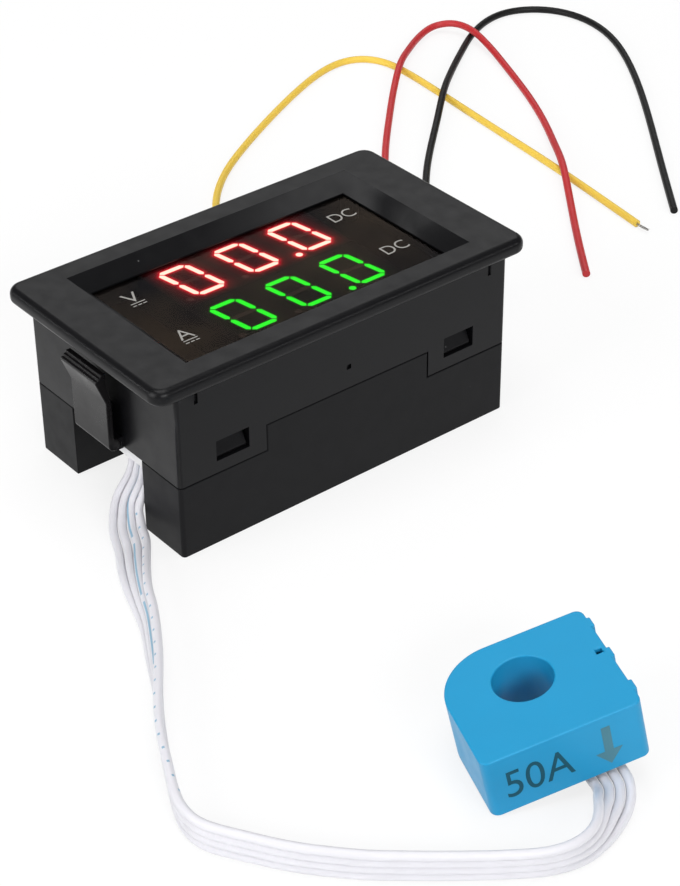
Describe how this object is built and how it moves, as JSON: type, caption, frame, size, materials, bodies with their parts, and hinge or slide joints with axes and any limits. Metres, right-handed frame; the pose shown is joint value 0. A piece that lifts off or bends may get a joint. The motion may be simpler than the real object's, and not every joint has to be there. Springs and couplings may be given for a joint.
{
  "type": "digital panel meter",
  "caption": "Snap-in panel meter with two rows of digits, spring arms at both ends, power leads and a plug-in ring current sensor on a ribbon cable.",
  "frame": {"origin": "centre of the flat rear face, which the meter lies on", "axes": "+Z out of the display, +X along the long side, +Y towards the upper row of digits"},
  "size_m": [0.2549, 0.2407, 0.037],
  "materials": {
    "black_plastic": "satin moulded ABS",
    "cover_plastic": "satin moulded ABS",
    "smoked_window": "smoked acrylic",
    "arm_plastic": "semi-gloss moulded ABS",
    "display_face": "black ink on the reflector",
    "red_segments": "lit epoxy",
    "green_segments": "lit epoxy",
    "unlit_red": "unlit epoxy",
    "unlit_green": "unlit epoxy",
    "board_green": "solder mask",
    "screw_steel": "plain",
    "chip_black": "moulded epoxy",
    "pin_brass": "plated",
    "capacitor_sleeve": "shrunk sleeve",
    "trimmer_blue": "moulded",
    "connector_white": "nylon",
    "lead_yellow": "soft PVC",
    "strand_copper": "bare tinned strands",
    "lead_red": "soft PVC",
    "lead_black": "soft PVC",
    "core_white": "soft PVC",
    "sensor_blue": "satin moulded",
    "potting_black": "plain",
    "core_ferrite": "sintered ferrite"
  },
  "bodies": {
    "meter": {"front_shell": "black_plastic", "rear_cover": "cover_plastic", "filter_window": "smoked_window", "voltage_display": "display_face", "current_display": "display_face", "voltage_segments": "red_segments", "current_segments": "green_segments", "voltage_dark_segments": "unlit_red", "current_dark_segments": "unlit_green", "display_board": "board_green", "display_screws": "screw_steel", "display_driver": "chip_black", "main_board": "board_green", "board_screws": "screw_steel", "board_header": "chip_black", "board_pins": "pin_brass", "microcontroller": "chip_black", "voltage_regulator": "chip_black", "capacitors": "capacitor_sleeve", "trimmers": "trimmer_blue", "resistors": "chip_black", "sensor_header": "connector_white", "sensor_header_pins": "pin_brass", "sensor_plug": "connector_white", "power_header": "connector_white", "power_header_pins": "pin_brass", "power_plug": "connector_white", "yellow_lead": "lead_yellow", "yellow_strand": "strand_copper", "red_lead": "lead_red", "black_lead": "lead_black", "sensor_wire_1": "core_white", "sensor_wire_2": "core_white", "sensor_wire_3": "core_white", "sensor_wire_4": "core_white", "sensor_case": "sensor_blue", "sensor_base": "potting_black", "sensor_core": "core_ferrite", "hall_element": "chip_black", "sensor_board": "board_green", "sensor_pins": "screw_steel"},
    "left_arm": {"left_spring_arm": "arm_plastic"},
    "right_arm": {"right_spring_arm": "arm_plastic"}
  },
  "joints": [
    {"name": "left_arm_press", "type": "hinge", "parent": "meter", "child": "left_arm", "pos_m": [-0.0398, 0, 0.0162], "axis": [0, 1, 0], "range_deg": [0, 9], "stiffness_Nm_per_rad": 0.05},
    {"name": "right_arm_press", "type": "hinge", "parent": "meter", "child": "right_arm", "pos_m": [0.0398, 0, 0.0162], "axis": [0, -1, 0], "range_deg": [0, 9], "stiffness_Nm_per_rad": 0.05}
  ]
}
